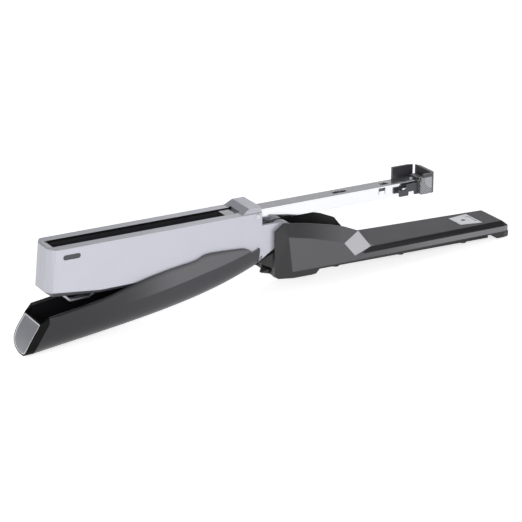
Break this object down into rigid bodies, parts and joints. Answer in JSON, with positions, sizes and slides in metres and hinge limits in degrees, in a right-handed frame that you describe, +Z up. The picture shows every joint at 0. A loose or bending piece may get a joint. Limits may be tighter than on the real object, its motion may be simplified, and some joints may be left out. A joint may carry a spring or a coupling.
{
  "type": "desktop stapler",
  "caption": "Full-strip desktop stapler opened flat for loading, with a sprung handle, hinged base, anvil and a pull-out staple rail.",
  "frame": {"origin": "middle of the bounding box at floor level, where the opened stapler stands on its handle tip and base front", "axes": "+X from the handle tip towards the front of the base, +Y across the stapler, +Z up"},
  "size_m": [0.3809, 0.04, 0.0718],
  "materials": {
    "base_plastic": "fine-textured black moulded plastic",
    "pad_rubber": "satin dark grey insert",
    "bright_steel": "polished sheet steel",
    "black_plastic": "plain black plastic",
    "zinc_steel": "zinc-plated steel",
    "black_rubber": "soft black rubber",
    "spring_steel": "bright spring steel",
    "silver_plastic": "satin silver-grey painted plastic",
    "dark_steel": "blackened sheet steel",
    "smoke_plastic": "dark glossy plastic",
    "handle_plastic": "semi-gloss charcoal plastic",
    "soft_grip": "mid-grey soft-touch insert",
    "chrome_rail": "bright chrome plate",
    "cap_plastic": "satin black plastic",
    "pusher_steel": "plated steel",
    "tab_plastic": "satin dark grey plastic"
  },
  "bodies": {
    "base": {"base_shell": "base_plastic", "base_pad": "pad_rubber", "anvil_plate": "bright_steel", "anvil_rivet": "black_plastic", "bottom_cover": "black_plastic", "cover_screws": "zinc_steel", "foot_pads": "black_rubber", "remover_fang": "black_plastic", "hinge_pin": "zinc_steel", "lift_spring": "spring_steel"},
    "head": {"housing_left": "silver_plastic", "housing_right": "silver_plastic", "magazine_channel": "dark_steel", "nose_guide": "bright_steel", "nose_windows": "smoke_plastic", "latch_studs": "bright_steel", "handle_pin": "zinc_steel", "lever_pin": "zinc_steel", "power_spring": "spring_steel", "spring_clamp": "zinc_steel", "striker_bumper": "black_rubber", "housing_screws": "zinc_steel"},
    "lever": {"trip_lever": "zinc_steel"},
    "striker": {"striker": "bright_steel"},
    "handle": {"handle_shell": "handle_plastic", "handle_insert": "soft_grip", "handle_rib": "black_plastic", "handle_spring": "spring_steel"},
    "rail": {"pusher_rail": "chrome_rail", "end_cap": "cap_plastic", "guide_rod": "zinc_steel", "rail_rivets": "zinc_steel", "pusher_spring": "spring_steel"},
    "pusher": {"pusher": "pusher_steel"},
    "tab": {"release_tab": "tab_plastic"}
  },
  "joints": [
    {"name": "head_hinge", "type": "hinge", "parent": "base", "child": "head", "pos_m": [0.00276, 0, 0.04422], "axis": [0, 1, 0], "range_deg": [0, 13]},
    {"name": "handle_press", "type": "hinge", "parent": "head", "child": "handle", "pos_m": [-0.02583, 0, 0.03371], "axis": [0, 1, 0], "range_deg": [0, 10.8], "stiffness_Nm_per_rad": 2, "springref_deg": -17.19, "deforming": ["handle_spring"]},
    {"name": "lever_rock", "type": "hinge", "parent": "head", "child": "lever", "pos_m": [-0.1033, 0, 0.0458], "axis": [0, -1, 0], "range_deg": [0, 9.95]},
    {"name": "striker_lift", "type": "slide", "parent": "head", "child": "striker", "axis": [-0.0526, 0, -0.9986], "range_m": [0, 0.0106]},
    {"name": "rail_slide", "type": "slide", "parent": "head", "child": "rail", "axis": [-0.9986, 0, 0.0526], "range_m": [0, 0.1205]},
    {"name": "pusher_slide", "type": "slide", "parent": "rail", "child": "pusher", "axis": [0.9986, 0, -0.0526], "range_m": [0, 0.09], "stiffness_N_per_m": 20, "springref_m": -0.05, "deforming": ["pusher_spring"]},
    {"name": "tab_squeeze", "type": "hinge", "parent": "rail", "child": "tab", "pos_m": [0.12164, -0.0106, 0.05198], "axis": [-0.0526, 0, -0.9986], "range_deg": [0, 4], "stiffness_Nm_per_rad": 0.05, "springref_deg": -5.73}
  ],
  "couplings": [
    {"joint": "lever_rock", "follows": "handle_press", "ratio": 0.91667},
    {"joint": "striker_lift", "follows": "handle_press", "m_per_rad": 0.055704}
  ]
}
